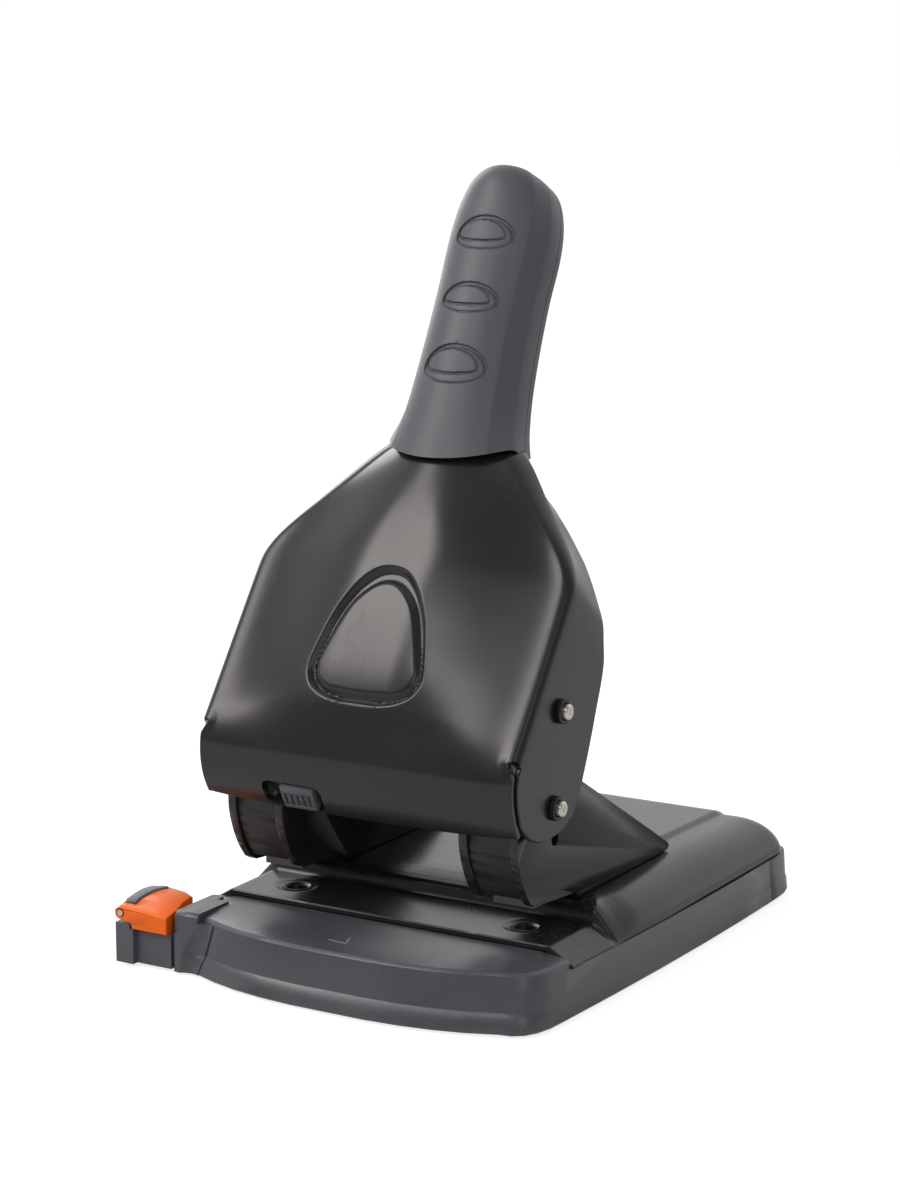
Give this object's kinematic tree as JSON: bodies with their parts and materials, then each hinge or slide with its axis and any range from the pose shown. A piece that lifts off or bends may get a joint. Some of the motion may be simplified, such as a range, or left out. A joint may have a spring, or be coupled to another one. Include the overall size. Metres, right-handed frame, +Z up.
{
  "type": "hole punch",
  "caption": "Heavy duty desk hole punch: a long lever turns cams that push side by side punches through paper on a steel deck, with a chip drawer, paper guide and lock.",
  "frame": {"origin": "centre of the tray's flat underside, midway between its front and rear and between the punches", "axes": "+X to the user's right, +Y to the rear, +Z up"},
  "size_m": [0.1463, 0.1835, 0.2379],
  "materials": {
    "slate_plastic": "fine matt grain, dark slate grey",
    "orange_plastic": "semi-gloss orange",
    "dark_rubber": "matt black",
    "satin_black": "satin black coating",
    "bright_steel": "nickel plated",
    "dark_steel": "blackened steel",
    "spring_steel": "drawn wire"
  },
  "bodies": {
    "base": {"base_tray": "slate_plastic", "bracket_guard_left": "satin_black", "bracket_guard_right": "satin_black", "bracket_left": "satin_black", "bracket_right": "satin_black", "bracket_screw_left_1": "dark_steel", "bracket_screw_left_2": "dark_steel", "bracket_screw_right_1": "dark_steel", "bracket_screw_right_2": "dark_steel", "deck_plate": "satin_black", "die_left": "bright_steel", "die_plate": "satin_black", "die_right": "bright_steel", "punch_guide_left": "dark_steel", "punch_guide_right": "dark_steel", "rubber_foot_1": "dark_rubber", "rubber_foot_2": "dark_rubber", "rubber_foot_3": "dark_rubber", "rubber_foot_4": "dark_rubber", "tray_screw_1": "dark_steel", "tray_screw_2": "dark_steel", "tray_screw_3": "dark_steel", "tray_screw_4": "dark_steel"},
    "drawer": {"chip_drawer": "slate_plastic"},
    "lever": {"cam_left_a": "dark_steel", "cam_left_b": "dark_steel", "cam_right_a": "dark_steel", "cam_right_b": "dark_steel", "grip_front": "slate_plastic", "grip_rear": "slate_plastic", "grip_screw_1": "dark_steel", "grip_screw_2": "dark_steel", "lever_body": "satin_black", "pivot_ring_left": "dark_steel", "pivot_ring_right": "dark_steel", "pivot_shaft": "bright_steel", "pivot_washer_left": "bright_steel", "pivot_washer_right": "bright_steel", "tie_ring_left": "dark_steel", "tie_ring_right": "dark_steel", "tie_shaft": "bright_steel"},
    "lock": {"lock_slider": "slate_plastic"},
    "punch_left": {"punch_pin_left": "bright_steel", "cross_pin_left": "bright_steel", "spring_collar_left": "dark_steel", "return_spring_left": "spring_steel"},
    "punch_right": {"punch_pin_right": "bright_steel", "cross_pin_right": "bright_steel", "spring_collar_right": "dark_steel", "return_spring_right": "spring_steel"},
    "guide": {"guide_arm": "slate_plastic"},
    "latch": {"guide_latch": "orange_plastic", "latch_pad": "slate_plastic", "latch_pin": "bright_steel"}
  },
  "joints": [
    {"name": "lever_hinge", "type": "hinge", "parent": "base", "child": "lever", "pos_m": [0, -0.0535, 0.0592], "axis": [-1, 0, 0], "range_deg": [0, 66], "stiffness_Nm_per_rad": 0.6, "springref_deg": -34.38},
    {"name": "punch_left_slide", "type": "slide", "parent": "base", "child": "punch_left", "axis": [0, 0, -1], "range_m": [0, 0.00925], "deforming": ["return_spring_left"]},
    {"name": "punch_right_slide", "type": "slide", "parent": "base", "child": "punch_right", "axis": [0, 0, -1], "range_m": [0, 0.00925], "deforming": ["return_spring_right"]},
    {"name": "lock_slide", "type": "slide", "parent": "lever", "child": "lock", "axis": [-1, 0, 0], "range_m": [0, 0.005]},
    {"name": "guide_slide", "type": "slide", "parent": "base", "child": "guide", "axis": [-1, 0, 0], "range_m": [0, 0.065]},
    {"name": "latch_hinge", "type": "hinge", "parent": "guide", "child": "latch", "pos_m": [-0.0776, -0.077, 0.0158], "axis": [0, -1, 0], "range_deg": [0, 35]},
    {"name": "drawer_slide", "type": "slide", "parent": "base", "child": "drawer", "axis": [0, 1, 0], "range_m": [0, 0.11]}
  ],
  "couplings": [
    {"joint": "punch_left_slide", "follows": "lever_hinge", "m_per_rad": 0.008},
    {"joint": "punch_right_slide", "follows": "lever_hinge", "m_per_rad": 0.008}
  ]
}
